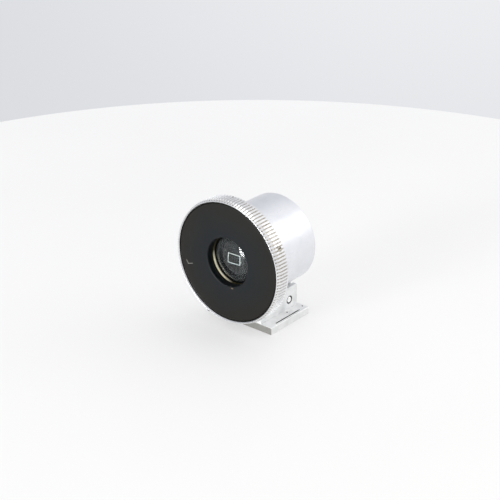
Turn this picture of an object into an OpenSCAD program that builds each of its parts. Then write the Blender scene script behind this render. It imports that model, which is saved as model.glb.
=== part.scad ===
// Shoe-mount bright-frame viewfinder with a parallax hinge.
// Origin: centre of the foot's bottom face. +Z up, +Y towards the subject, -Y towards the eye.

/* [Fluted ring] */
// Diameter over the flutes
ring_d = 28.6; // [28.4:0.1:29.2]
// Width of the ring along the optical axis
ring_w = 3.96; // [3.9:0.02:4.1]
// Number of flutes round the ring
flute_count = 120; // [60:2:140]
// Depth of each flute
flute_depth = 0.28; // [0.1:0.02:0.32]
// Share of the flute pitch that is land
land_share = 0.58; // [0.4:0.02:0.7]
// Angle of the first set screw above the +X side
set_screw_angle = 26.5; // [10:0.5:50]

/* [Eye disc and eyepiece] */
// Diameter of the eye hole
eye_hole_d = 11.2; // [10:0.1:11.4]
// Radius of curvature of the eyepiece lens
lens_curve_r = 10; // [9:0.5:20]
// Width of the frame line's rectangle, centre to centre
frame_w = 2.9; // [2:0.1:4]
// Height of the frame line's rectangle, centre to centre
frame_h = 1.95; // [1.4:0.05:2.6]
// Width of the frame line
frame_line_w = 0.13; // [0.1:0.01:0.3]

/* [Body tube] */
// Outer diameter of the tube
tube_d = 20.3; // [20:0.1:20.6]
// Wall of the tube
tube_wall = 0.95; // [0.8:0.05:1]
// Length from the ring's front rim to the tube's far end
finder_l = 18.5; // [18:0.1:20]
// Height of the optical axis above the foot's bottom face
axis_h = 16.1; // [16:0.1:17]

/* [Accessory-shoe foot] */
// Width of the foot across the shoe
foot_w = 18.5; // [18.3:0.05:18.6]
// Length of the foot along the shoe
foot_l = 13.34; // [13:0.02:14]
// Thickness of the foot plate
foot_t = 1.68; // [1.5:0.02:1.9]
// Width of the slit along each edge
slit_w = 0.3; // [0.2:0.05:0.4]
// Length of the slit
slit_l = 8.55; // [6:0.05:9]

/* [Hinge] */
// Distance of the hinge pin behind the foot's centre, towards the subject
hinge_y = 3.47; // [3:0.01:3.8]
// Height of the hinge pin above the foot's bottom face
hinge_h = 3.71; // [3.6:0.01:3.9]
// Diameter of the hinge pin
pin_d = 1.4; // [1.3:0.05:1.5]
// Width over the bracket's two cheeks
bracket_w = 12.5; // [12:0.1:12.6]
// Thickness of each cheek
cheek_t = 0.9; // [0.7:0.05:1]
// Height of the cheeks' top edge above the foot's bottom face
cheek_top = 6.86; // [6.4:0.02:6.9]

/* [Hidden] */
$fn = 96;
cut = 0.5;           // how far a cutter runs past a face
gap = 0.02;          // assembly gap between pieces of one body

// Places along the optical axis are counted from the ring's front rim.
rim_y = -10.93;      // the rim's place in front of the foot's centre
ring_r = ring_d / 2;
rim_r = ring_r - 0.38;         // outer edge of the plain front rim
disc_bore_r = 13.6;            // bore that holds the eye disc
lip_t = 0.3;                   // depth of the sloping lip between the rim and the disc
rim_bevel_s = 1.1;             // where the front bevel meets the flutes
flute_end_s = ring_w - 0.4;    // where the flutes stop and the plain rear band starts
flute_wall = 0.06;             // share of the pitch that each flute's sloping wall takes
flute_floor_r = ring_r - flute_depth;
band_r = flute_floor_r - 0.03;
band_chamfer = 0.12;
web_s = 3.1;                   // front face of the ring's rear web
web_bore_r = tube_d / 2 + 0.1;
dimple_angle = 92;             // index dimple on the top of the ring
dimple_s = 3.2;
dimple_r = 0.22;
dimple_depth = 0.3;

disc_face_s = 0.3;             // the disc's edge plane
disc_back_s = 1.6;
disc_outer_r = disc_bore_r - 0.05;
disc_edge_chamfer = 0.28;
hole_chamfer = 0.3;
hole_r = eye_hole_d / 2;

cell_s = disc_back_s + gap;
cell_flange_r = tube_d / 2 - tube_wall - 0.05;
cell_flange_t = 0.98;
cell_r = 7;
cell_bore_r = 6.05;
cell_end_s = 6.2;
lip_s = 2.3;                   // back of the cell's front lip
lens_s = 3.2;                  // plane of the lens's shoulder
lens_edge_r = 5.5;
optic_r = 6;
lens_edge_t = 0.25;
lens_apex_s = lens_s - lens_curve_r + sqrt(pow(lens_curve_r, 2) - pow(lens_edge_r, 2));
mask_s = lens_s + lens_edge_t + gap;
mask_t = 0.1;
glass_s = mask_s + mask_t + gap;
glass_t = 0.96;
ring_s = glass_s + glass_t + gap;
ring_t = 1.1;
tick_l = 0.34;                 // side tick of the frame line
tick_w = 0.12;
tick_z = -0.35;

tube_r = tube_d / 2;
bore_r = tube_r - tube_wall;
flange_r = 13.5;
flange_s = 1.65;
flange_t = 1.3;
edge_round = 0.25;
set_screw_s = 2.3;
set_screw_r = 0.57;
set_screw_sink = 0.16;         // how far a set screw's head lies below the lands
screw_groove_r = 12.9;         // bottom of the flange's groove for the set screws
screw_groove_half = 0.6;
window_s = finder_l - 2.5;
window_t = 1.2;
window_ring_t = 0.88;
window_ring_bore_r = 8.3;
tunnel_bore_r = 8.4;
spanner_w = 0.8;
spanner_depth = 0.4;

web_t = 0.55;                  // base of the U bracket
web_front_y = -6.2;
web_back_y = 0.9;
web_top = foot_t + web_t;
cheek_x = bracket_w / 2 - cheek_t;
cheek_back_y = 6.13;
cheek_corner = 0.4;
plate_corner_r = 0.2;
plate_bevel = 0.06;
slit_inset = 0.75;             // from the foot's edge to the middle of the slit
stake_marks = [[7.1, 1.47], [7.9, 6.07]];
stake_r = 0.2;
stake_depth = 0.3;
pin_recess_r = pin_d / 2 + 0.28;
pin_recess_depth = 0.3;
rivet_r = 0.6;
rivet_head_r = 1;
rivet_head_t = 0.4;
rivet_x = 3.6;
rivet_ys = [-5, -0.3];

lug_w = 2 * cheek_x - 0.5;
lug_toe_y = -3.2;
lug_back_y = 5.4;
lug_top = 6.9;
lug_under = web_top + 0.05;
knuckle_r = 1.7;
pocket_w = 3.4;
pocket_top = 3.7;
pocket_back_y = 0.2;
lug_screw_r = 0.55;
lug_screw_angle = 20;          // each side of straight down
lug_screw_ys = [-2, 0.6];
lug_screw_end_r = 12.4;        // distance of a screw's tip from the optical axis
lug_head_r = 0.95;

spring_w = 3;
spring_t = 0.2;
spring_screw_y = -4.9;
spring_screw_r = 0.5;
spring_head_r = 1;
spring_head_t = 0.5;
slot_w = 0.22;
slot_depth = 0.22;

// Local +Z runs along the optical axis, towards the subject, from the ring's front rim.
module on_axis() {
    translate([0, rim_y, axis_h]) rotate([-90, 0, 0]) children();
}

// Extrudes a side-view outline, drawn as (Y, Z), over a width centred on X = 0.
module side_plate(width) {
    rotate([90, 0, 90]) linear_extrude(height = width, center = true) children();
}

// A ring of rectangular section about the optical axis.
module hoop(outer, inner, from, to) {
    rotate_extrude() translate([inner, from]) square([outer - inner, to - from]);
}

// Places children at the set screws' angles, with local +Z pointing outwards.
module at_set_screws() {
    for (i = [0:2]) {
        rotate([0, 0, -set_screw_angle - 120 * i]) translate([0, 0, set_screw_s])
            rotate([0, 90, 0]) children();
    }
}

// Places children at the lug screws, with local +Z pointing outwards from the optical axis.
module at_lug_screws() {
    for (y = lug_screw_ys, side = [-1, 1]) {
        translate([0, y, axis_h]) rotate([0, side * lug_screw_angle, 0]) rotate([180, 0, 0]) children();
    }
}

// Places children at the bracket's rivets, at the height of the foot's bottom face.
module at_rivets() {
    for (x = [-rivet_x, rivet_x], y = rivet_ys) translate([x, y, 0]) children();
}

// The two spanner slots across a threaded ring.
module spanner_slots(radius, from) {
    translate([-radius - cut, -spanner_w / 2, from]) cube([2 * (radius + cut), spanner_w, 2]);
}

// A point at a radius, counted in flute pitches round the ring.
function flute_point(pitches, radius) =
    let (angle = pitches * 360 / flute_count) radius * [cos(angle), sin(angle)];

module fluted_outline() {
    half_land = land_share / 2;
    polygon([for (i = [0:flute_count - 1]) each [
        flute_point(i - half_land, ring_r),
        flute_point(i + half_land, ring_r),
        flute_point(i + half_land + flute_wall, flute_floor_r),
        flute_point(i + 1 - half_land - flute_wall, flute_floor_r)
    ]]);
}

module fluted_ring() {
    color("gainsboro") on_axis() difference() {
        intersection() {
            linear_extrude(height = ring_w) fluted_outline();
            rotate_extrude() polygon([
                [disc_bore_r, lip_t], [rim_r - 0.08, 0], [rim_r, 0],
                [ring_r, rim_bevel_s], [ring_r, flute_end_s], [band_r, flute_end_s + 0.08],
                [band_r, ring_w - band_chamfer], [band_r - band_chamfer, ring_w], [web_bore_r, ring_w],
                [web_bore_r, web_s], [disc_bore_r, web_s]
            ]);
        }
        at_set_screws() translate([0, 0, disc_bore_r - cut]) cylinder(r = set_screw_r + 0.03, h = 2);
        rotate([0, 0, -dimple_angle]) translate([ring_r - dimple_depth, 0, dimple_s]) rotate([0, 90, 0])
            cylinder(r = dimple_r, h = 1);
    }
}

module ring_set_screws() {
    screw_top = ring_r - set_screw_sink;
    color("silver") on_axis() at_set_screws() difference() {
        translate([0, 0, screw_groove_r + gap]) cylinder(r = set_screw_r, h = screw_top - screw_groove_r);
        translate([-1, -slot_w / 2, screw_top - slot_depth]) cube([2, slot_w, 1]);
    }
}

module eye_disc() {
    color([0.16, 0.17, 0.17]) on_axis() rotate_extrude() polygon([
        [hole_r, disc_face_s + hole_chamfer], [hole_r + 0.12, disc_face_s + hole_chamfer - 0.12],
        [disc_outer_r - disc_edge_chamfer, disc_face_s], [disc_outer_r, disc_face_s + disc_edge_chamfer],
        [disc_outer_r, disc_back_s], [hole_r, disc_back_s]
    ]);
}

module eyepiece_cell() {
    color([0.08, 0.08, 0.08]) on_axis() rotate_extrude() polygon([
        [hole_r, cell_s], [cell_flange_r, cell_s], [cell_flange_r, cell_s + cell_flange_t],
        [cell_r, cell_s + cell_flange_t], [cell_r, cell_end_s], [cell_bore_r, cell_end_s],
        [cell_bore_r, lip_s], [hole_r, lip_s]
    ]);
}

module lens_ring() {
    color("darkgoldenrod") on_axis() rotate_extrude() polygon([
        [lens_edge_r + gap, lens_s - gap], [lens_edge_r + gap, lens_s - 0.15],
        [optic_r - 0.06, lip_s + gap], [optic_r, lip_s + gap], [optic_r, lens_s - gap]
    ]);
}

module eyepiece_lens() {
    back_s = lens_s + lens_edge_t;
    color([0.75, 0.85, 0.9, 0.5]) on_axis() union() {
        intersection() {
            translate([0, 0, lens_apex_s + lens_curve_r]) sphere(r = lens_curve_r, $fn = 128);
            cylinder(r = lens_edge_r, h = lens_s + 0.1);
        }
        translate([0, 0, lens_s]) cylinder(r = optic_r, h = back_s - lens_s);
    }
}

// The frame line's rectangle, seen along the optical axis, with its side tick.
module frame_outline() {
    difference() {
        square([frame_w + frame_line_w, frame_h + frame_line_w], center = true);
        square([frame_w - frame_line_w, frame_h - frame_line_w], center = true);
    }
    translate([frame_w / 2, -tick_z - tick_w / 2]) square([tick_l, tick_w]);
}

module frame_mask() {
    color([0.05, 0.05, 0.06]) on_axis() translate([0, 0, mask_s]) {
        linear_extrude(height = mask_t) difference() {
            circle(r = optic_r - 0.05);
            frame_outline();
        }
    }
}

module frame_line() {
    color("white") on_axis() translate([0, 0, mask_s]) linear_extrude(height = mask_t) frame_outline();
}

module reticle_glass() {
    color([0.75, 0.85, 0.9, 0.5]) on_axis() translate([0, 0, glass_s]) {
        cylinder(r = optic_r - 0.05, h = glass_t);
    }
}

module reticle_ring() {
    color("goldenrod") on_axis() difference() {
        hoop(optic_r, 5, ring_s, ring_s + ring_t);
        spanner_slots(optic_r, ring_s + ring_t - spanner_depth);
    }
}

module light_tunnel() {
    tunnel_s = cell_s + cell_flange_t + gap;
    color([0.1, 0.1, 0.1]) on_axis() hoop(cell_flange_r, tunnel_bore_r, tunnel_s, window_s - gap);
}

module body_tube() {
    color("lightgray") difference() {
        on_axis() rotate_extrude() polygon([
            [bore_r, flange_s], [flange_r, flange_s], [flange_r, set_screw_s - screw_groove_half - gap],
            [screw_groove_r, set_screw_s - screw_groove_half],
            [screw_groove_r, set_screw_s + screw_groove_half],
            [flange_r, set_screw_s + screw_groove_half + gap], [flange_r, flange_s + flange_t],
            [tube_r, flange_s + flange_t], [tube_r, finder_l - edge_round],
            [tube_r - edge_round * 0.3, finder_l - edge_round * 0.3], [tube_r - edge_round, finder_l],
            [bore_r + edge_round, finder_l], [bore_r, finder_l - edge_round]
        ]);
        at_lug_screws() lug_screw_hole(0.03);
    }
}

module opal_window() {
    color("whitesmoke") on_axis() translate([0, 0, window_s]) cylinder(r = bore_r - 0.05, h = window_t);
}

module window_ring() {
    from = window_s + window_t + gap;
    color("silver") on_axis() difference() {
        hoop(bore_r - 0.05, window_ring_bore_r, from, from + window_ring_t);
        spanner_slots(bore_r, from + window_ring_t - spanner_depth);
    }
}

// Shank and countersunk head of a lug screw, or with a clearance, the hole for it.
module lug_screw_hole(clearance) {
    head_r = bore_r - 0.05;
    translate([0, 0, head_r]) cylinder(r = lug_screw_r + clearance, h = lug_screw_end_r - head_r + clearance);
    translate([0, 0, head_r - cut]) cylinder(r = lug_head_r + clearance, h = cut + 0.12 + clearance);
}

module lug_screws() {
    head_r = bore_r + 0.02;
    color("dimgray") at_lug_screws() difference() {
        union() {
            translate([0, 0, head_r]) cylinder(r = lug_screw_r, h = lug_screw_end_r - head_r);
            translate([0, 0, head_r - gap]) cylinder(r = lug_head_r, h = 0.05 + gap);
        }
        translate([-1.2, -slot_w / 2, head_r - cut]) cube([2.4, slot_w, cut + 0.04]);
    }
}

module hinge_lug() {
    color("silver") difference() {
        side_plate(lug_w) union() {
            translate([hinge_y, hinge_h]) circle(r = knuckle_r);
            polygon([
                [lug_toe_y, lug_under + 0.3], [lug_toe_y + 0.3, lug_under], [hinge_y - knuckle_r, lug_under],
                [hinge_y, hinge_h], [lug_back_y - 0.23, hinge_h], [lug_back_y, hinge_h + 0.23],
                [lug_back_y, lug_top], [lug_toe_y, lug_top]
            ]);
        }
        translate([0, -20, axis_h]) rotate([-90, 0, 0]) cylinder(r = tube_r + gap, h = 40);
        translate([-10, hinge_y, hinge_h]) rotate([0, 90, 0]) cylinder(r = pin_d / 2 + 0.03, h = 20);
        translate([-pocket_w / 2, lug_toe_y - cut, 0]) {
            cube([pocket_w, pocket_back_y - lug_toe_y + cut, pocket_top]);
        }
        at_lug_screws() lug_screw_hole(0.03);
    }
}

module foot_outline() {
    x = foot_w / 2 - plate_corner_r;
    y = foot_l / 2 - plate_corner_r;
    square([foot_w, 2 * y], center = true);
    square([2 * x, foot_l], center = true);
    for (sx = [-x, x], sy = [-y, y]) translate([sx, sy]) circle(r = plate_corner_r);
}

module foot_slit() {
    square([slit_w, slit_l - slit_w], center = true);
    for (end = [-1, 1]) translate([0, end * (slit_l - slit_w) / 2]) circle(r = slit_w / 2);
}

module foot_plate() {
    half = foot_w / 2;
    color("silver") difference() {
        intersection() {
            linear_extrude(height = foot_t) foot_outline();
            rotate([90, 0, 0]) linear_extrude(height = foot_l + 2, center = true) polygon([
                [-half, plate_bevel], [-half + plate_bevel, 0], [half - plate_bevel, 0],
                [half, plate_bevel], [half, foot_t - plate_bevel], [half - plate_bevel, foot_t],
                [-half + plate_bevel, foot_t], [-half, foot_t - plate_bevel]
            ]);
        }
        for (side = [-1, 1]) {
            translate([side * (half - slit_inset), 0, -cut]) {
                linear_extrude(height = foot_t + 2 * cut) foot_slit();
            }
            for (mark = stake_marks) {
                translate([side * mark[0], mark[1], foot_t - stake_depth]) cylinder(r = stake_r, h = 1);
            }
        }
        at_rivets() rivet(0.02);
        translate([0, spring_screw_y, 0.5]) cylinder(r = spring_screw_r + 0.02, h = 2);
    }
}

// A countersunk rivet, flush with the foot's bottom face, or with a clearance, the hole for it.
module rivet(clearance) {
    translate([0, 0, -clearance]) cylinder(r = rivet_r + clearance, h = web_top + 2 * clearance);
    translate([0, 0, -clearance]) {
        cylinder(r1 = rivet_head_r + clearance, r2 = rivet_r + clearance, h = rivet_head_t + clearance);
    }
}

module hinge_bracket() {
    plate_top = foot_t + 0.005;
    color("lightgray") difference() {
        side_plate(bracket_w) polygon([
            [web_front_y - 0.4, plate_top], [cheek_back_y - 0.3, plate_top],
            [cheek_back_y, plate_top + 0.3], [cheek_back_y, cheek_top - cheek_corner],
            [cheek_back_y - cheek_corner / 4, cheek_top - cheek_corner / 4],
            [cheek_back_y - cheek_corner, cheek_top],
            [web_front_y + 0.2, cheek_top], [web_front_y, cheek_top - 0.2]
        ]);
        translate([-cheek_x, -20, web_top]) cube([2 * cheek_x, 40, 20]);
        translate([-cheek_x, web_back_y, 0]) cube([2 * cheek_x, 20, 20]);
        translate([-10, hinge_y, hinge_h]) rotate([0, 90, 0]) cylinder(r = pin_d / 2 + 0.01, h = 20);
        for (side = [-1, 1]) {
            translate([side * bracket_w / 2, hinge_y, hinge_h]) rotate([0, 90, 0])
                cylinder(r = pin_recess_r, h = 2 * pin_recess_depth, center = true);
        }
        at_rivets() rivet(0.02);
        translate([0, spring_screw_y, 0]) cylinder(r = spring_screw_r + 0.02, h = 4);
    }
}

module bracket_rivets() {
    color("gray") at_rivets() intersection() {
        rivet(0);
        cylinder(r = 2, h = web_top);
    }
}

module hinge_pin() {
    pin_l = bracket_w + 0.06;
    pin_r = pin_d / 2;
    dome = 0.16;
    color("white") translate([-pin_l / 2, hinge_y, hinge_h]) rotate([0, 90, 0]) {
        rotate_extrude() polygon([
            [0, 0], [pin_r - 2 * dome, 0], [pin_r - 0.6 * dome, 0.3 * dome], [pin_r, dome],
            [pin_r, pin_l - dome], [pin_r - 0.6 * dome, pin_l - 0.3 * dome], [pin_r - 2 * dome, pin_l],
            [0, pin_l]
        ]);
    }
}

module hinge_washers() {
    washer_r = 1.55;
    washer_t = 0.2;
    washer_x = cheek_x - 0.03 - washer_t / 2;
    for (side = [-1, 1]) {
        color("silver") translate([side * washer_x, hinge_y, hinge_h]) rotate([0, 90, 0]) difference() {
            cylinder(r = washer_r, h = washer_t, center = true);
            cylinder(r = pin_d / 2 + 0.03, h = 1, center = true);
        }
    }
}

module tilt_spring() {
    low = web_top + gap;
    front_y = -6;
    rise_y = lug_toe_y - 0.5;
    tip_y = pocket_back_y - 0.6;
    tip_z = pocket_top - 0.1;
    color("darkgray") difference() {
        side_plate(spring_w) polygon([
            [front_y, low], [rise_y, low], [tip_y - 0.8, tip_z - spring_t],
            [tip_y, tip_z - spring_t - 0.25], [tip_y + 0.1, tip_z - 0.25], [tip_y - 0.8, tip_z],
            [rise_y - 0.08, low + spring_t], [front_y, low + spring_t]
        ]);
        translate([0, spring_screw_y, 0]) cylinder(r = spring_screw_r + 0.03, h = 4);
    }
}

module spring_screw() {
    seat = web_top + 2 * gap + spring_t;
    color("dimgray") translate([0, spring_screw_y, 0]) difference() {
        union() {
            translate([0, 0, 0.6]) cylinder(r = spring_screw_r, h = seat - 0.5);
            translate([0, 0, seat]) cylinder(r = spring_head_r, h = spring_head_t);
        }
        translate([-2, -slot_w / 2, seat + spring_head_t - slot_depth]) cube([4, slot_w, 1]);
    }
}

fluted_ring();
ring_set_screws();
eye_disc();
eyepiece_cell();
lens_ring();
eyepiece_lens();
frame_mask();
frame_line();
reticle_glass();
reticle_ring();
light_tunnel();
body_tube();
opal_window();
window_ring();
hinge_lug();
lug_screws();
foot_plate();
hinge_bracket();
bracket_rivets();
hinge_pin();
hinge_washers();
tilt_spring();
spring_screw();
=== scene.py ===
"""Looks for the shoe-mount viewfinder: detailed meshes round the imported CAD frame, materials, light, camera.

Frame coordinates are metres, and lengths given in millimetres are multiplied by MM to reach them. Places come
from the CAD frame. Turned pieces are drawn as outlines of (radius, distance behind the ring's front rim) in
millimetres about the optical axis, which runs along +Y.
"""

import math
from collections import namedtuple

import bmesh
import bpy
from mathutils import Matrix, Quaternion, Vector


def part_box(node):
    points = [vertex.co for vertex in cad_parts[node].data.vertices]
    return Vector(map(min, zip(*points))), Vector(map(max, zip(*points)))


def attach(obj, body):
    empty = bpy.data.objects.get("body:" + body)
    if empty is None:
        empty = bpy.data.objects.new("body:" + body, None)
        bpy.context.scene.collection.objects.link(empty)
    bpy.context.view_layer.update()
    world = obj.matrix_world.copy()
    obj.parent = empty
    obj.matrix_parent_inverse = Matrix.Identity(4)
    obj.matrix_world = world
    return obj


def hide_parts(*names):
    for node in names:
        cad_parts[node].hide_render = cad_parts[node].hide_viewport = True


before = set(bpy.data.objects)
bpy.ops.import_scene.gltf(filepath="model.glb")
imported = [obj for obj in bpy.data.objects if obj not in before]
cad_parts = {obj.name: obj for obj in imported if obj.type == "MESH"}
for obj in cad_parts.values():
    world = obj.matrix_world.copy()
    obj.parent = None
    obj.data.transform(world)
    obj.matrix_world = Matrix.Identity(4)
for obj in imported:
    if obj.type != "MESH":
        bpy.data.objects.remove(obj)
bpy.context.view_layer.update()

MM = 0.001
AXIS_Z = sum(corner.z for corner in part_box("opal_window")) / 2
RIM_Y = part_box("fluted_ring")[0].y
ALL_ROUND = 2 * math.pi


def node_span(node):
    """Where a turned CAD node starts and ends behind the rim, and its largest radius, in millimetres."""
    low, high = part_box(node)
    return (low.y - RIM_Y) / MM, (high.y - RIM_Y) / MM, (high.x - low.x) / 2 / MM


# Names that end in _R are radii and names that end in _S are distances behind the rim, in millimetres.

_, RING_END, RING_R = node_span("fluted_ring")
FLUTES = 120
FLUTE_DEPTH = 0.27
FLUTE_FLOOR_R = RING_R - FLUTE_DEPTH
LAND_SHARE = 0.285
RIM_R = RING_R - 0.38
LIP_DEPTH = 0.3
RING_WEB = 0.86
SCREW_ANGLES = [26.5 + 120 * i for i in range(3)]
SCREW_HOLE_R = 0.6
SCREW_HOLE_S = 2.3
DISC_FACE, DISC_BACK, DISC_R = node_span("eye_disc")
EYE_HOLE_R = 5.6
CELL_START, CELL_END, CELL_FLANGE_R = node_span("eyepiece_cell")
CELL_FLANGE = 0.98
CELL_R = 7.0
CELL_BORE_R = 6.05
BRASS_START, BRASS_END, BRASS_R = node_span("lens_ring")
BRASS_BORE_R = 5.52
# Where the painted shade beside the lens begins on the brass ring.
BRASS_SHADE_S = 2.82
LENS_APEX, LENS_BACK, LENS_R = node_span("eyepiece_lens")
LENS_CURVE_R = 10.0
LENS_EDGE_R = 5.5
LENS_POLISHED_R = 4.75
TUBE_START, TUBE_END, TUBE_FLANGE_R = node_span("body_tube")
TUBE_FLANGE = 1.3
TUBE_WALL = 0.95
TUBE_R = node_span("light_tunnel")[2] + 0.05 + TUBE_WALL
PIN_RECESS_R = 0.98

TURN_STEPS = 256
# Painted shade and grime, laid where ambient occlusion finds crevices.
CREVICE_GRIME_AND_SHADE = (0.035, 0.032, 0.028)
# Painted shade for the slits, dimples and pin recesses.
POCKET_SHADE = (0.02, 0.0195, 0.019)
# Painted shade for the foot plate's end faces.
END_SHADE = (0.32, 0.316, 0.3)
WORN_SPECK = (0.3, 0.29, 0.28)


# ---------------------------------------------------------------- meshes

def link(name, mesh):
    piece = bpy.data.objects.new(name, mesh)
    bpy.context.scene.collection.objects.link(piece)
    return piece


def shade(mesh, crease=32):
    """Smooth shading with a hard edge wherever two faces meet at more than crease degrees."""
    mesh.shade_smooth()
    mesh.set_sharp_from_angle(angle=math.radians(crease))


def apply_modifiers(piece):
    """Bakes the piece's modifiers into its mesh."""
    shown = piece.evaluated_get(bpy.context.evaluated_depsgraph_get())
    mesh = bpy.data.meshes.new_from_object(shown)
    piece.modifiers.clear()
    piece.data = mesh
    return piece


def fillet(outline, steps=4):
    """Rounds the corners of an outline of (x, y, radius) points. A radius of 0 keeps the corner."""
    smooth = []
    for i, (x, y, radius) in enumerate(outline):
        here = Vector((x, y))
        if radius == 0:
            smooth.append((x, y))
            continue
        before = Vector(outline[i - 1][:2])
        after = Vector(outline[(i + 1) % len(outline)][:2])
        start = here + (before - here).normalized() * radius
        end = here + (after - here).normalized() * radius
        for step in range(steps + 1):
            t = step / steps
            point = start.lerp(here, t).lerp(here.lerp(end, t), t)
            smooth.append((point.x, point.y))
    return smooth


def lathe(name, outline, angles=None, radius_at=None):
    """Turns an outline of (radius, distance) about the optical axis.

    An outline that starts and ends on the axis is a solid disc, and any other is a closed ring.
    radius_at(angle, radius) can cut into the turned shape, as the flutes do.
    """
    angles = angles or [ALL_ROUND * i / TURN_STEPS for i in range(TURN_STEPS)]
    solid = outline[0][0] == 0
    ring_points = outline[1:-1] if solid else outline
    mesh = bmesh.new()
    columns = []
    for angle in angles:
        column = []
        for radius, distance in ring_points:
            if radius_at:
                radius = radius_at(angle, radius)
            across = radius * math.cos(angle) * MM
            up = radius * math.sin(angle) * MM
            column.append(mesh.verts.new((across, RIM_Y + distance * MM, AXIS_Z + up)))
        columns.append(column)
    if solid:
        ends = (outline[0][1], outline[-1][1])
        poles = [mesh.verts.new((0, RIM_Y + distance * MM, AXIS_Z)) for distance in ends]
    for i, column in enumerate(columns):
        following = columns[(i + 1) % len(columns)]
        last = len(column) - 1 if solid else len(column)
        for k in range(last):
            n = (k + 1) % len(column)
            mesh.faces.new((column[k], column[n], following[n], following[k]))
        if solid:
            mesh.faces.new((poles[0], column[0], following[0]))
            mesh.faces.new((column[-1], poles[1], following[-1]))
    bmesh.ops.recalc_face_normals(mesh, faces=mesh.faces)
    data = bpy.data.meshes.new(name)
    mesh.to_mesh(data)
    mesh.free()
    shade(data)
    return link(name, data)


def softened(node, width, crease=28):
    """A copy of a CAD node with every hard edge rounded by width millimetres."""
    mesh = bmesh.new()
    mesh.from_mesh(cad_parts[node].data)
    bmesh.ops.remove_doubles(mesh, verts=mesh.verts, dist=0.0005 * MM)
    bmesh.ops.dissolve_limit(mesh, angle_limit=math.radians(0.5), verts=mesh.verts, edges=mesh.edges)
    data = bpy.data.meshes.new(node + "_soft")
    mesh.to_mesh(data)
    mesh.free()
    piece = link(node + "_soft", data)
    bevel = piece.modifiers.new("round", "BEVEL")
    bevel.width = width * MM
    bevel.segments = 3
    bevel.limit_method = "ANGLE"
    bevel.angle_limit = math.radians(crease)
    data.shade_smooth()
    flatten = piece.modifiers.new("flatten", "WEIGHTED_NORMAL")
    flatten.weight = 100
    return apply_modifiers(piece)


def drill(piece, cutters):
    """Takes the cutters' shapes out of the piece, and removes the cutters."""
    for cutter in cutters:
        hole = piece.modifiers.new("hole", "BOOLEAN")
        hole.operation = "DIFFERENCE"
        hole.solver = "EXACT"
        hole.object = cutter
    apply_modifiers(piece)
    shade(piece.data)
    for cutter in cutters:
        bpy.data.objects.remove(cutter)
    return piece


def radial_cutter(angle, distance, radius, inner, outer):
    """A round drill pointing out from the optical axis at an angle in degrees above +X."""
    mesh = bmesh.new()
    bmesh.ops.create_cone(
        mesh, cap_ends=True, segments=40,
        radius1=radius * MM, radius2=radius * MM, depth=(outer - inner) * MM)
    data = bpy.data.meshes.new("cutter")
    mesh.to_mesh(data)
    mesh.free()
    cutter = link("cutter", data)
    turn = Matrix.Rotation(math.radians(90 - angle), 4, "Y")
    middle = turn @ Vector((0, 0, (inner + outer) / 2 * MM))
    cutter.matrix_world = Matrix.Translation(middle + Vector((0, RIM_Y + distance * MM, AXIS_Z))) @ turn
    bpy.context.view_layer.update()
    return cutter


# ---------------------------------------------------------------- materials

Shader = namedtuple("Shader", "tree surface")


def new_material(name, **sockets):
    """A Principled material whose constant sockets are set by name, with underscores for spaces."""
    material = bpy.data.materials.new(name)
    material.use_nodes = True
    surface = material.node_tree.nodes["Principled BSDF"]
    for socket, value in sockets.items():
        surface.inputs[socket.replace("_", " ")].default_value = value
    return material, Shader(material.node_tree, surface)


def add(shader, kind, **values):
    """Adds a node. Values that are sockets of other nodes are linked, and the rest are set."""
    made = shader.tree.nodes.new("ShaderNode" + kind)
    for name, value in values.items():
        if name.startswith("set_"):
            setattr(made, name[4:], value)
            continue
        place = int(name[1:]) if name[0] == "i" and name[1:].isdigit() else name.replace("_", " ")
        if isinstance(value, bpy.types.NodeSocket):
            shader.tree.links.new(value, made.inputs[place])
        else:
            made.inputs[place].default_value = value
    return made


def millimetres(shader, stretch=(1, 1, 1)):
    """Object coordinates in millimetres, stretched along an axis where a number is under 1."""
    place = add(shader, "TexCoord")
    scale = tuple(s / MM for s in stretch)
    return add(shader, "Mapping", Vector=place.outputs["Object"], Scale=scale).outputs[0]


def noise(shader, scale, detail=4, rough=0.5, stretch=(1, 1, 1)):
    return add(
        shader, "TexNoise", Vector=millimetres(shader, stretch), Scale=scale, Detail=detail, Roughness=rough
    ).outputs["Fac"]


def remap(shader, value, low, high, to_low, to_high):
    """Maps value from low..high onto to_low..to_high, and holds it at the ends."""
    return add(
        shader, "MapRange", Value=value, From_Min=low, From_Max=high, To_Min=to_low, To_Max=to_high
    ).outputs[0]


def mix_colour(shader, share, first, second):
    made = shader.tree.nodes.new("ShaderNodeMix")
    made.data_type = "RGBA"
    for place, value in ((0, share), (6, first), (7, second)):
        if isinstance(value, bpy.types.NodeSocket):
            shader.tree.links.new(value, made.inputs[place])
        else:
            made.inputs[place].default_value = value if place == 0 else (*value, 1)
    return made.outputs[2]


def math_node(shader, operation, first, second=0.0):
    return add(shader, "Math", set_operation=operation, i0=first, i1=second).outputs[0]


def vector_node(shader, operation, first, second, output="Vector"):
    return add(shader, "VectorMath", set_operation=operation, i0=first, i1=second).outputs[output]


def object_point(shader):
    """The shaded point in metres of the frame."""
    return add(shader, "TexCoord").outputs["Object"]


def from_rim(shader):
    """The shaded point in millimetres: X across, Y back from the ring's front rim, Z up from the axis."""
    shifted = vector_node(shader, "SUBTRACT", object_point(shader), (0, RIM_Y, AXIS_Z))
    return add(shader, "VectorMath", set_operation="SCALE", i0=shifted, Scale=1 / MM).outputs[0]


def depth(shader):
    """Distance behind the ring's front rim, in millimetres."""
    return add(shader, "SeparateXYZ", Vector=from_rim(shader)).outputs["Y"]


def axis_radius(shader):
    """Distance from the optical axis, in millimetres."""
    flat = vector_node(shader, "MULTIPLY", from_rim(shader), (1, 0, 1))
    return add(shader, "VectorMath", set_operation="LENGTH", i0=flat).outputs["Value"]


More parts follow.
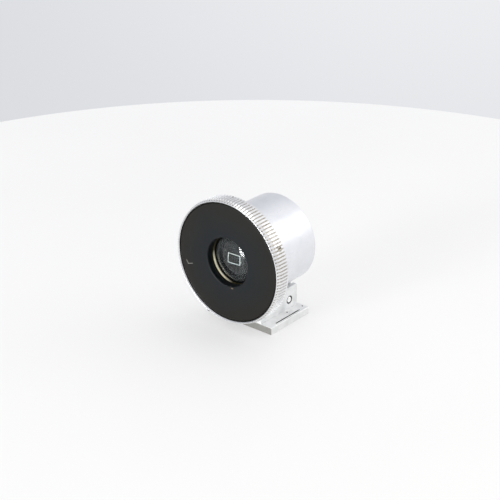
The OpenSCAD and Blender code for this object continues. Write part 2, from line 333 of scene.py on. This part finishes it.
def lit_side(shader, angle, full, none):
    """1 within full degrees of an angle about the optical axis, fading to 0 at none degrees.

    Angle 0 is +X and 90 is up.
    """
    towards = (math.cos(math.radians(angle)), 0, math.sin(math.radians(angle)))
    along = vector_node(shader, "DOT_PRODUCT", from_rim(shader), towards, "Value")
    cosine = math_node(shader, "DIVIDE", along, axis_radius(shader))
    return remap(shader, cosine, math.cos(math.radians(none)), math.cos(math.radians(full)), 0, 1)


def wire(shader, socket, value):
    shader.tree.links.new(value, shader.surface.inputs[socket])


def bump(shader, height, strength, distance):
    """Height in 0..1 becomes relief of distance millimetres."""
    made = add(shader, "Bump", Height=height, Strength=strength, Distance=distance * MM)
    wire(shader, "Normal", made.outputs[0])


def crevice_shade_and_grime(shader, reach, shut=0.2, open_from=0.5):
    """1 deep in slots and holes narrower than reach millimetres, and 0 on open faces: painted shade and grime.
    """
    sky = add(
        shader, "AmbientOcclusion", set_samples=8, set_only_local=True, Distance=reach * MM).outputs["AO"]
    return remap(shader, sky, shut, open_from, 1, 0)


def within(shader, axis, low, high, soft=0.03):
    """1 between two places along an axis, in metres of the frame, with edges soft millimetres wide."""
    place = add(shader, "SeparateXYZ", Vector=object_point(shader)).outputs[axis]
    edge = soft * MM
    above = remap(shader, place, low - edge, low, 0, 1)
    below = remap(shader, place, high, high + edge, 1, 0)
    return math_node(shader, "MULTIPLY", above, below)


def plate_pocket_shade(shader):
    """1 on the walls of the slits and dimples that go down into the foot plate's top, for painted shade there.
    """
    low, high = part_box("foot_plate")
    inside = math_node(
        shader, "MULTIPLY", within(shader, "X", low.x + 0.3 * MM, high.x - 0.3 * MM),
        within(shader, "Y", low.y + 0.3 * MM, high.y - 0.3 * MM))
    return math_node(shader, "MULTIPLY", inside, within(shader, "Z", low.z + 0.1 * MM, high.z - 0.05 * MM))


def pin_recess_shade(shader):
    """1 in the shallow recess round each end of the hinge pin, for painted shade there."""
    pin = sum(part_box("hinge_pin"), Vector()) / 2
    low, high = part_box("hinge_bracket")
    flat = vector_node(shader, "MULTIPLY", object_point(shader), (0, 1, 1))
    away = vector_node(shader, "DISTANCE", flat, (0, pin.y, pin.z), "Value")
    near = remap(shader, away, (PIN_RECESS_R - 0.02) * MM, (PIN_RECESS_R + 0.02) * MM, 1, 0)
    sunk = within(shader, "X", low.x + 0.05 * MM, high.x - 0.05 * MM, 0.02)
    return math_node(shader, "MULTIPLY", near, sunk)


def shaded_ends(shader):
    """1 on the end faces of the foot plate, fading out at their edges, for painted shade there."""
    low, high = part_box("foot_plate")
    plated = within(shader, "Y", low.y + 0.08 * MM, high.y - 0.08 * MM, 0.06)
    return math_node(
        shader, "MULTIPLY", math_node(shader, "SUBTRACT", 1.0, plated),
        within(shader, "Z", low.z, high.z - 0.1 * MM, 0.05))


def satin_metal(name, bright, dull, roughness, grain, wear=0.0, pocket_shade=None, end_shade=None):
    """Plated or blasted metal: fine grain, cloudy colour, painted shade and grime in the crevices, and a
    roughness that wanders.

    The two optional functions say where painted shade darkens pockets and recesses, and where it darkens end
    faces.
    """
    material, shader = new_material(name, Metallic=1.0)
    cloud = noise(shader, 0.35, 5, 0.6)
    speck = noise(shader, 9, 3, 0.7)
    mixed = mix_colour(shader, remap(shader, cloud, 0.35, 0.65, 0, 1), bright, dull)
    pitted = mix_colour(shader, remap(shader, speck, 0.66, 0.76, 0, wear), mixed, WORN_SPECK)
    # Painted shade: the foot plate's end faces are darkened.
    if end_shade:
        pitted = mix_colour(shader, end_shade(shader), pitted, END_SHADE)
    # Painted shade: the pockets and recesses are darkened.
    if pocket_shade:
        pitted = mix_colour(shader, pocket_shade(shader), pitted, POCKET_SHADE)
    # Painted shade and grime where ambient occlusion finds crevices.
    wire(shader, "Base Color", mix_colour(shader, crevice_shade_and_grime(shader, 0.45), pitted, CREVICE_GRIME_AND_SHADE))
    wire(shader, "Roughness", remap(shader, cloud, 0.3, 0.7, roughness * 0.88, roughness * 1.15))
    bump(shader, noise(shader, grain, 6, 0.65), 0.55, 0.012)
    return material


def flute_share(shader):
    """How far a point lies across its flute pitch: 0 in mid-land and 0.5 in mid-groove."""
    parts = add(shader, "SeparateXYZ", Vector=from_rim(shader))
    angle = math_node(shader, "ARCTAN2", parts.outputs["Z"], parts.outputs["X"])
    pitches = math_node(shader, "MULTIPLY", angle, FLUTES / ALL_ROUND)
    across = math_node(shader, "FRACT", math_node(shader, "ADD", pitches, 0.5))
    return math_node(shader, "ABSOLUTE", math_node(shader, "SUBTRACT", across, 0.5))


def fluted_metal(name):
    """Bright chrome lands, with warm tarnish low in the flutes and dark dots at their front ends."""
    material, shader = new_material(name, Metallic=1.0)
    radius = axis_radius(shader)
    worn = noise(shader, 1.6, 5, 0.6)
    low = remap(shader, radius, FLUTE_FLOOR_R, FLUTE_FLOOR_R + 0.24, 1, 0)
    outside = remap(shader, radius, RIM_R + 0.02, RIM_R + 0.08, 0, 1)
    grooved = math_node(shader, "MULTIPLY", outside, remap(shader, flute_share(shader), 0.29, 0.34, 0, 1))
    floors = math_node(shader, "MULTIPLY", low, grooved)
    tarnish = math_node(shader, "MULTIPLY", floors, remap(shader, worn, 0.3, 0.7, 0.5, 1))
    clean = remap(shader, worn, 0.35, 0.65, 0, 1)
    plain = mix_colour(shader, clean, (0.82, 0.825, 0.835), (0.75, 0.755, 0.765))
    dirty = mix_colour(shader, tarnish, plain, (0.5, 0.455, 0.37))
    front = math_node(shader, "MULTIPLY", grooved, remap(shader, depth(shader), 0.36, 0.56, 0.9, 0))
    patchy = remap(shader, noise(shader, 2.2, 3), 0.4, 0.55, 0.2, 1)
    dots = math_node(shader, "MULTIPLY", front, patchy)
    dotted = mix_colour(shader, dots, dirty, (0.1, 0.085, 0.06))
    # Painted shade and grime where ambient occlusion finds crevices.
    wire(shader, "Base Color", mix_colour(shader, crevice_shade_and_grime(shader, 0.5, 0.12, 0.3), dotted, CREVICE_GRIME_AND_SHADE))
    wire(shader, "Roughness", remap(shader, worn, 0.3, 0.7, 0.24, 0.34))
    bump(shader, noise(shader, 14, 5, 0.6), 0.3, 0.006)
    return material


def near_stroke(shader, start, end, width):
    """1 on a short mark between two (X, Z) points in millimetres from the optical axis, fading over width."""
    flat = vector_node(shader, "MULTIPLY", from_rim(shader), (1, 0, 1))
    run = Vector((end[0] - start[0], 0, end[1] - start[1]))
    origin = (start[0], 0, start[1])
    from_start = vector_node(shader, "SUBTRACT", flat, origin)
    along = vector_node(shader, "DOT_PRODUCT", from_start, run, "Value")
    share = remap(shader, along, 0, run.length_squared, 0, 1)
    nearest = add(shader, "VectorMath", set_operation="SCALE", i0=run, Scale=share).outputs[0]
    away = vector_node(shader, "DISTANCE", from_start, nearest, "Value")
    return remap(shader, away, width * 0.3, width, 1, 0)


def black_paint(name, colour, roughness, gloss, hairlines=0.0, edge_colour=None):
    """Satin black enamel with orange peel, dust and hairline scratches.

    With an edge_colour it takes that colour away from the optical axis. Without one it is mottled all over.
    """
    material, shader = new_material(name, Specular_IOR_Level=gloss)
    cloud = noise(shader, 0.13, 4, 0.55)
    across = noise(shader, 1.0, 2, 0.5, (3.2, 1, 0.09))
    along = noise(shader, 1.0, 2, 0.5, (0.12, 1, 2.7))
    hairs = math_node(
        shader, "MAXIMUM", remap(shader, across, 0.715, 0.75, 0, 1), remap(shader, along, 0.715, 0.75, 0, 1))
    stretches = remap(shader, noise(shader, 0.5, 2), 0.5, 0.62, 0, hairlines)
    broken = math_node(shader, "MULTIPLY", hairs, stretches)
    mottle = remap(shader, cloud, 0.38, 0.62, 0, 1)
    if edge_colour:
        radius = axis_radius(shader)
        ragged = math_node(shader, "ADD", radius, math_node(shader, "MULTIPLY", cloud, 7))
        mottle = remap(shader, ragged, 10, 16.5, 0, 1)
    base = mix_colour(shader, mottle, colour, edge_colour or tuple(c * 1.6 for c in colour))
    dust = remap(shader, noise(shader, 11, 2, 0.6), 0.7, 0.8, 0, 0.3 * gloss)
    dusty = mix_colour(shader, dust, base, (0.1, 0.1, 0.1))
    wire(shader, "Base Color", mix_colour(shader, broken, dusty, (0.12, 0.12, 0.115)))
    wire(shader, "Roughness", remap(shader, cloud, 0.3, 0.7, roughness * 0.85, roughness * 1.15))
    bump(shader, noise(shader, 5, 4, 0.5), 0.35, 0.01)
    return material, shader


def disc_enamel(name):
    """The eye disc's black enamel, with the rubbed mark and the chip that it carries."""
    material, shader = black_paint(name, (0.0035, 0.0053, 0.0068), 0.42, 0.19, 0.06, (0.0062, 0.0058, 0.0042))
    clean = shader.surface.inputs["Base Color"].links[0].from_socket
    rub = math_node(
        shader, "MAXIMUM", near_stroke(shader, (-11.6, -2.75), (-11.1, -3.5), 0.13),
        near_stroke(shader, (-11.1, -3.5), (-9.9, -3.1), 0.12))
    patchy = math_node(shader, "MULTIPLY", rub, remap(shader, noise(shader, 2.5, 3), 0.35, 0.6, 0.35, 1))
    rubbed = mix_colour(shader, patchy, clean, (0.2, 0.2, 0.185))
    chip = near_stroke(shader, (1.2, -5.8), (1.5, -5.78), 0.2)
    wire(shader, "Base Color", mix_colour(shader, chip, rubbed, (0.13, 0.095, 0.06)))
    return material


def worn_brass(name):
    """Yellow brass: pale on its lower left and dark brown elsewhere as painted light and shade, and black
    beside the lens as painted shade.
    """
    material, shader = new_material(name, Metallic=1.0)
    patch = noise(shader, 1.1, 6, 0.7)
    streak = noise(shader, 2.2, 4, 0.65, (1, 3, 1))
    pale = mix_colour(shader, remap(shader, patch, 0.4, 0.6, 0, 1), (1.0, 0.98, 0.78), (0.97, 0.88, 0.55))
    shaded_brown = mix_colour(shader, patch, (0.13, 0.11, 0.055), (0.05, 0.042, 0.025))
    # Painted light: pale where light falls on the lower left, and dark brown as painted shade elsewhere.
    rubbed = mix_colour(shader, lit_side(shader, 220, 24, 46), shaded_brown, pale)
    streaked = mix_colour(shader, remap(shader, streak, 0.56, 0.64, 0, 0.6), rubbed, (0.2, 0.14, 0.06))
    # Painted shade: black in the shadowed gap beside the lens.
    lens_gap_shade = remap(shader, depth(shader), BRASS_SHADE_S, BRASS_SHADE_S + 0.12, 0, 1)
    wire(shader, "Base Color", mix_colour(shader, lens_gap_shade, streaked, (0.01, 0.009, 0.007)))
    wire(shader, "Roughness", remap(shader, patch, 0.3, 0.7, 0.3, 0.45))
    bump(shader, streak, 0.4, 0.02)
    return material


def optical_glass(name, mirror):
    """Old glass with a bluish haze that thickens towards its rim. mirror scales how much it reflects."""
    material, shader = new_material(
        name, IOR=1.52, Transmission_Weight=1.0, Specular_Tint=(mirror * 0.95, mirror, mirror, 1))
    smear = noise(shader, 0.5, 5, 0.6)
    tint = mix_colour(shader, remap(shader, smear, 0.3, 0.7, 0, 1), (0.84, 0.93, 0.95), (0.88, 0.93, 0.92))
    wire(shader, "Base Color", tint)
    wire(shader, "Roughness", remap(shader, smear, 0.45, 0.75, 0.07, 0.1))
    radius = axis_radius(shader)
    outwards = remap(shader, radius, 2.2, 4.4, 0.002, 0.026)
    film = math_node(shader, "MULTIPLY", outwards, remap(shader, radius, 4.95, 5.3, 1, 0.2))
    haze = math_node(shader, "MULTIPLY", film, remap(shader, smear, 0.3, 0.7, 0.75, 1.25))
    wire(shader, "Transmission Weight", math_node(shader, "SUBTRACT", 1.0, haze))
    return material


def lit_line(name):
    """The frame line: white, a little uneven, glowing by its own emission as painted light for the light that
    reaches it from behind.
    """
    material, shader = new_material(name, Roughness=0.6, Specular_IOR_Level=0.1)
    uneven = noise(shader, 1.4, 3)
    share = remap(shader, uneven, 0.35, 0.65, 0, 1)
    colour = mix_colour(shader, share, (0.95, 0.95, 0.93), (0.74, 0.75, 0.74))
    wire(shader, "Base Color", colour)
    # Painted light: the line glows in its own colour.
    wire(shader, "Emission Color", colour)
    shader.surface.inputs["Emission Strength"].default_value = 0.17
    return material


def opal_glass(name):
    """Milky frosted glass."""
    material, shader = new_material(name, Subsurface_Weight=0.35, Subsurface_Scale=0.6 * MM)
    cloud = noise(shader, 0.4, 5)
    milky = remap(shader, cloud, 0.35, 0.65, 0, 1)
    wire(shader, "Base Color", mix_colour(shader, milky, (0.92, 0.93, 0.92), (0.86, 0.87, 0.85)))
    wire(shader, "Roughness", remap(shader, cloud, 0.3, 0.7, 0.42, 0.58))
    bump(shader, noise(shader, 16, 4, 0.7), 0.5, 0.012)
    return material


def table_paint(name):
    """White light-table top that glows a little, so the shadows on it stay faint."""
    material, shader = new_material(name, Specular_IOR_Level=0.2, Emission_Strength=0.465)
    cloud = noise(shader, 0.012, 4)
    clean = remap(shader, cloud, 0.3, 0.7, 0, 1)
    wire(shader, "Base Color", mix_colour(shader, clean, (0.46, 0.455, 0.445), (0.445, 0.44, 0.43)))
    # Painted light: the glow is brighter towards +X than towards -X.
    across = add(shader, "SeparateXYZ", Vector=object_point(shader)).outputs["X"]
    wire(shader, "Emission Color", mix_colour(
        shader, remap(shader, across, -60 * MM, 90 * MM, 0, 1), (0.93, 0.935, 0.95), (1.04, 1.04, 1.035)))
    wire(shader, "Roughness", remap(shader, cloud, 0.3, 0.7, 0.5, 0.62))
    return material


def dress(piece, material, body, slot, *nodes):
    """Gives a piece its material and body, and hides the CAD nodes it stands for. The slot is not used."""
    piece.data.materials.clear()
    piece.data.materials.append(material)
    if nodes:
        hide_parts(*nodes)
    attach(piece, body)


def repaint(node, material):
    """Gives a CAD node that stays in view a finished material."""
    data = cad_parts[node].data
    if not data.materials:
        data.materials.append(material)
    for index in range(len(data.materials)):
        data.materials[index] = material


# ---------------------------------------------------------------- the finder

def flute_angles():
    """Angles that put mesh lines on both edges of every land and in the floor of every flute."""
    stops = (-0.28, -0.1, 0.1, 0.28, 0.315, 0.36, 0.43, 0.57, 0.64, 0.685)
    return [ALL_ROUND * (i + share) / FLUTES for i in range(FLUTES) for share in stops]


def flute_cut(angle, radius):
    """The ring's radius once the flutes are cut: full on the lands, round-bottomed between them."""
    share = (angle * FLUTES / ALL_ROUND + 0.5) % 1 - 0.5
    into = (abs(share) - LAND_SHARE) / (0.5 - LAND_SHARE)
    if into <= 0 or radius < RIM_R - 0.4:
        return radius
    cut = FLUTE_DEPTH * min(1.0, math.sqrt(into) * 1.25)
    return min(radius, RING_R - cut)


def make_fluted_ring(material):
    bore = DISC_R + 0.05
    band = FLUTE_FLOOR_R - 0.04
    flute_end = RING_END - 0.4
    bevel_steps = [
        (RIM_R + (RING_R - RIM_R) * t, 0.07 + 1.03 * t ** 1.15, 0)
        for t in (0.12, 0.24, 0.36, 0.48, 0.6, 0.75, 0.9)
    ]
    outline = fillet([
        (bore, LIP_DEPTH + 0.1, 0), (bore, LIP_DEPTH, 0.05), (RIM_R - 0.1, 0, 0.05), (RIM_R - 0.02, 0, 0.06),
        *bevel_steps,
        (RING_R, 1.15, 0.08), (RING_R, 2.0, 0), (RING_R, 2.8, 0), (RING_R, flute_end, 0.05),
        (band, flute_end + 0.09, 0.02), (band, RING_END, 0.1),
        (TUBE_R + 0.1, RING_END, 0.05), (TUBE_R + 0.1, RING_END - RING_WEB, 0),
        (bore, RING_END - RING_WEB, 0),
    ], 3)
    ring = lathe("fluted_ring_skin", outline, flute_angles(), flute_cut)
    drills = [
        radial_cutter(angle, SCREW_HOLE_S, SCREW_HOLE_R, DISC_R - 0.5, RING_R + 1) for angle in SCREW_ANGLES
    ]
    drills.append(radial_cutter(92, 3.2, 0.22, RING_R - 0.3, RING_R + 1))
    drill(ring, drills)
    dress(ring, material, "finder", "ring_chrome", "fluted_ring")


def make_eye_disc(material):
    outline = fillet([
        (EYE_HOLE_R, DISC_FACE + 0.3, 0.08), (EYE_HOLE_R + 0.14, DISC_FACE + 0.18, 0.08),
        (9.5, DISC_FACE + 0.05, 0.5), (DISC_R - 0.28, DISC_FACE, 0.1), (DISC_R, DISC_FACE + 0.3, 0.06),
        (DISC_R, DISC_BACK, 0), (EYE_HOLE_R, DISC_BACK, 0),
    ])
    dress(lathe("eye_disc_skin", outline), material, "finder", "black_enamel", "eye_disc")


def make_eyepiece(cell_paint, brass, glass, bloomed):
    lip = BRASS_START - 0.02
    flange_end = CELL_START + CELL_FLANGE
    cell = fillet([
        (EYE_HOLE_R, CELL_START, 0.04), (CELL_FLANGE_R, CELL_START, 0), (CELL_FLANGE_R, flange_end, 0),
        (CELL_R, flange_end, 0), (CELL_R, CELL_END, 0.1), (CELL_BORE_R, CELL_END, 0.1),
        (CELL_BORE_R, lip, 0), (EYE_HOLE_R, lip, 0.04),
    ])
    dress(lathe("eyepiece_cell_skin", cell), cell_paint, "finder", "black_cell", "eyepiece_cell")

    ring = fillet([
        (BRASS_BORE_R, BRASS_END, 0), (BRASS_BORE_R, BRASS_END - 0.13, 0.05),
        (BRASS_R - 0.06, BRASS_START, 0.02), (BRASS_R, BRASS_START, 0), (BRASS_R, BRASS_END, 0),
    ])
    dress(lathe("lens_ring_skin", ring), brass, "finder", "worn_brass", "lens_ring")

    swing = math.asin(LENS_EDGE_R / LENS_CURVE_R)
    turns = [swing * i / 24 for i in range(25)]
    dome = [
        (LENS_CURVE_R * math.sin(turn), LENS_APEX + LENS_CURVE_R * (1 - math.cos(turn))) for turn in turns
    ]
    shoulder = dome[-1][1]
    lens = lathe("eyepiece_lens_skin", [*dome, (LENS_R, shoulder), (LENS_R, LENS_BACK), (0, LENS_BACK)])
    dress(lens, glass, "finder", "lens_glass", "eyepiece_lens")
    lens.data.materials.append(bloomed)
    for face in lens.data.polygons:
        behind = (face.center.y - RIM_Y) / MM > shoulder - 0.01
        outside = math.hypot(face.center.x, face.center.z - AXIS_Z) / MM > LENS_POLISHED_R
        face.material_index = int(behind or outside)


def make_body_tube(material):
    bore = TUBE_R - TUBE_WALL
    flange_end = TUBE_START + TUBE_FLANGE
    outline = fillet([
        (bore, TUBE_START, 0), (TUBE_FLANGE_R, TUBE_START, 0.08), (TUBE_FLANGE_R, flange_end, 0.08),
        (TUBE_R, flange_end, 0), (TUBE_R, TUBE_END - 4, 0), (TUBE_R, TUBE_END, 0.28),
        (bore + 0.2, TUBE_END, 0.08), (bore, TUBE_END - 0.25, 0.06), (bore, TUBE_END - 2, 0),
    ])
    dress(lathe("body_tube_skin", outline), material, "finder", "tube_chrome", "body_tube")


def make_opal_window(material):
    start, end, outer = node_span("opal_window")
    rim = fillet([(0, start, 0), (outer, start, 0.08), (outer, end, 0.12), (0, end, 0)])
    dress(lathe("opal_window_skin", rim), material, "finder", "opal", "opal_window")


# ---------------------------------------------------------------- the whole object

def build_object():
    ring_metal = fluted_metal("fluted_chrome")
    tube_metal = satin_metal("tube_satin_chrome", (0.80, 0.81, 0.845), (0.75, 0.765, 0.80), 0.3, 7)
    foot_metal = satin_metal(
        "foot_satin_chrome", (0.88, 0.885, 0.88), (0.79, 0.795, 0.79), 0.42, 9, 0.3,
        pocket_shade=plate_pocket_shade, end_shade=shaded_ends)
    blasted = satin_metal(
        "bracket_blasted_chrome", (0.87, 0.875, 0.875), (0.77, 0.78, 0.78), 0.52, 4, 0.5,
        pocket_shade=pin_recess_shade)
    steel = satin_metal("screw_steel", (0.5, 0.46, 0.38), (0.3, 0.28, 0.26), 0.34, 8, 0.5)
    bright_steel = satin_metal("pin_bright_steel", (0.92, 0.92, 0.92), (0.82, 0.82, 0.82), 0.18, 6)
    spring_steel = satin_metal("spring_steel", (0.6, 0.6, 0.62), (0.5, 0.5, 0.53), 0.3, 6, 0.3)
    enamel = disc_enamel("eye_disc_enamel")
    cell_paint = black_paint("cell_black", (0.004, 0.004, 0.0045), 0.34, 0.3)[0]
    mask_paint = black_paint("mask_black", (0.001, 0.001, 0.0012), 0.6, 0.0)[0]
    brass = worn_brass("worn_brass")
    glass = optical_glass("optical_glass", 0.72)
    bloomed = optical_glass("optical_glass_bloomed", 0.05)

    make_fluted_ring(ring_metal)
    make_eye_disc(enamel)
    make_eyepiece(cell_paint, brass, glass, bloomed)
    make_body_tube(tube_metal)
    make_opal_window(opal_glass("opal_glass"))
    repaint("frame_mask", mask_paint)
    repaint("frame_line", lit_line("frame_line_white"))
    repaint("reticle_glass", bloomed)
    repaint("light_tunnel", cell_paint)
    for node, width, material, body, slot in (
            ("ring_set_screws", 0.03, steel, "finder", "screw_steel"),
            ("reticle_ring", 0.05, brass, "finder", "worn_brass"),
            ("window_ring", 0.06, foot_metal, "finder", "foot_chrome"),
            ("hinge_lug", 0.08, blasted, "finder", "bracket_chrome"),
            ("lug_screws", 0.03, steel, "finder", "screw_steel"),
            ("foot_plate", 0.03, foot_metal, "foot", "foot_chrome"),
            ("hinge_bracket", 0.04, blasted, "foot", "bracket_chrome"),
            ("bracket_rivets", 0.03, steel, "foot", "screw_steel"),
            ("hinge_pin", 0.03, bright_steel, "foot", "pin_steel"),
            ("hinge_washers", 0.03, spring_steel, "foot", "spring_steel"),
            ("tilt_spring", 0.03, spring_steel, "foot", "spring_steel"),
            ("spring_screw", 0.05, steel, "foot", "screw_steel")):
        dress(softened(node, width), material, body, slot, node)


# ---------------------------------------------------------------- table, light and camera

VIEW_AZIMUTH = math.radians(39.49)
VIEW_ELEVATION = math.radians(25.02)
VIEW_DISTANCE = 297.46 * MM
VIEW_LENS = 99.94
SENSOR_WIDTH = 36
AIM_RIGHT = 5.0 * MM
AIM_UP = 2.76 * MM
TABLE_R = 161.2
TABLE_THICKNESS = 12
TABLE_CENTRE = (9.2 * MM, -10.1 * MM)
LAMP_DISTANCE = 1.2
WINDOW_PLACE = (38, 28)
EYE_WINDOW_PLACE = (185, 6)


def view_frame():
    """Unit vectors to the camera's right, up and back."""
    right = Vector((math.cos(VIEW_AZIMUTH), math.sin(VIEW_AZIMUTH), 0))
    flat = math.cos(VIEW_ELEVATION)
    back = Vector((math.sin(VIEW_AZIMUTH) * flat, -math.cos(VIEW_AZIMUTH) * flat, math.sin(VIEW_ELEVATION)))
    return right, back.cross(right), back


def make_camera():
    right, up, back = view_frame()
    aim = Vector((0, RIM_Y + 0.3 * MM, AXIS_Z)) + right * AIM_RIGHT + up * AIM_UP
    data = bpy.data.cameras.new("camera")
    data.lens = VIEW_LENS
    data.sensor_width = SENSOR_WIDTH
    data.clip_start = 10 * MM
    data.clip_end = 20
    camera = bpy.data.objects.new("camera", data)
    turn = Matrix((right, up, back)).transposed().to_4x4()
    camera.matrix_world = Matrix.Translation(aim + back * VIEW_DISTANCE) @ turn
    bpy.context.scene.collection.objects.link(camera)
    bpy.context.scene.camera = camera


def make_table():
    """A round white table top with a softly rounded edge."""
    mesh = bmesh.new()
    edge = fillet([
        (0, 0, 0), (TABLE_R, 0, 1.5), (TABLE_R, -TABLE_THICKNESS, 1.5), (0, -TABLE_THICKNESS, 0)
    ])
    columns = []
    for i in range(TURN_STEPS):
        angle = ALL_ROUND * i / TURN_STEPS
        column = []
        for radius, z in edge[1:-1]:
            x = TABLE_CENTRE[0] + radius * MM * math.cos(angle)
            y = TABLE_CENTRE[1] + radius * MM * math.sin(angle)
            column.append(mesh.verts.new((x, y, z * MM)))
        columns.append(column)
    for i, column in enumerate(columns):
        following = columns[(i + 1) % TURN_STEPS]
        for k in range(len(column) - 1):
            mesh.faces.new((column[k], following[k], following[k + 1], column[k + 1]))
    mesh.faces.new([column[0] for column in columns])
    mesh.faces.new([column[-1] for column in reversed(columns)])
    bmesh.ops.recalc_face_normals(mesh, faces=mesh.faces)
    data = bpy.data.meshes.new("table_top")
    mesh.to_mesh(data)
    mesh.free()
    shade(data)
    table = link("table_top", data)
    data.materials.append(table_paint("table_white"))


def out_from(azimuth, elevation):
    """Unit vector away from the object. Azimuth 0 is behind it, towards +Y, and 90 is at +X."""
    az, el = math.radians(azimuth), math.radians(elevation)
    return Vector((math.sin(az) * math.cos(el), math.cos(az) * math.cos(el), math.sin(el)))


def softbox(name, azimuth, elevation, width, height, power, tilt=0):
    """A rectangular light aimed at the object, turned by tilt degrees about its own axis."""
    data = bpy.data.lights.new(name, "AREA")
    data.shape = "RECTANGLE"
    data.size = width
    data.size_y = height
    data.energy = power
    lamp = bpy.data.objects.new(name, data)
    out = out_from(azimuth, elevation)
    lamp.location = Vector((0, 0, AXIS_Z)) + out * LAMP_DISTANCE
    roll = Quaternion((0, 0, 1), math.radians(tilt))
    lamp.rotation_euler = (out.to_track_quat("Z", "Y") @ roll).to_euler()
    lamp.visible_camera = False
    bpy.context.scene.collection.objects.link(lamp)


def glow(shader, towards, place, inner, outer):
    """1 within inner degrees of a place in the room, fading softly to 0 at outer degrees."""
    facing = vector_node(shader, "DOT_PRODUCT", towards, out_from(*place), "Value")
    return add(
        shader, "MapRange", set_interpolation_type="SMOOTHSTEP", Value=math_node(shader, "ARCCOSINE", facing),
        From_Min=math.radians(outer), From_Max=math.radians(inner), To_Min=0.0, To_Max=1.0).outputs[0]


def make_world():
    """A pale grey room that brightens softly towards the window side."""
    world = bpy.data.worlds.new("studio")
    world.use_nodes = True
    shader = Shader(world.node_tree, world.node_tree.nodes["Background"])
    towards = add(shader, "TexCoord").outputs["Generated"]
    wall = mix_colour(
        shader, glow(shader, towards, (-30, -4), 6, 26), (0.715, 0.725, 0.755), (0.86, 0.865, 0.885))
    brightening = glow(shader, towards, WINDOW_PLACE, 10, 80)
    wire(shader, "Color", mix_colour(shader, brightening, wall, (1.15, 1.15, 1.16)))
    bpy.context.scene.world = world


def make_light():
    make_world()
    softbox("window_back_right", *WINDOW_PLACE, 0.75, 0.6, 0.9)
    softbox("overhead", -20, 78, 0.7, 0.7, 1.9)
    softbox("window_eye_side", *EYE_WINDOW_PLACE, 0.32, 0.56, 15.5, tilt=32)


make_camera()
build_object()
make_table()
make_light()
bpy.context.scene.view_settings.view_transform = "Standard"
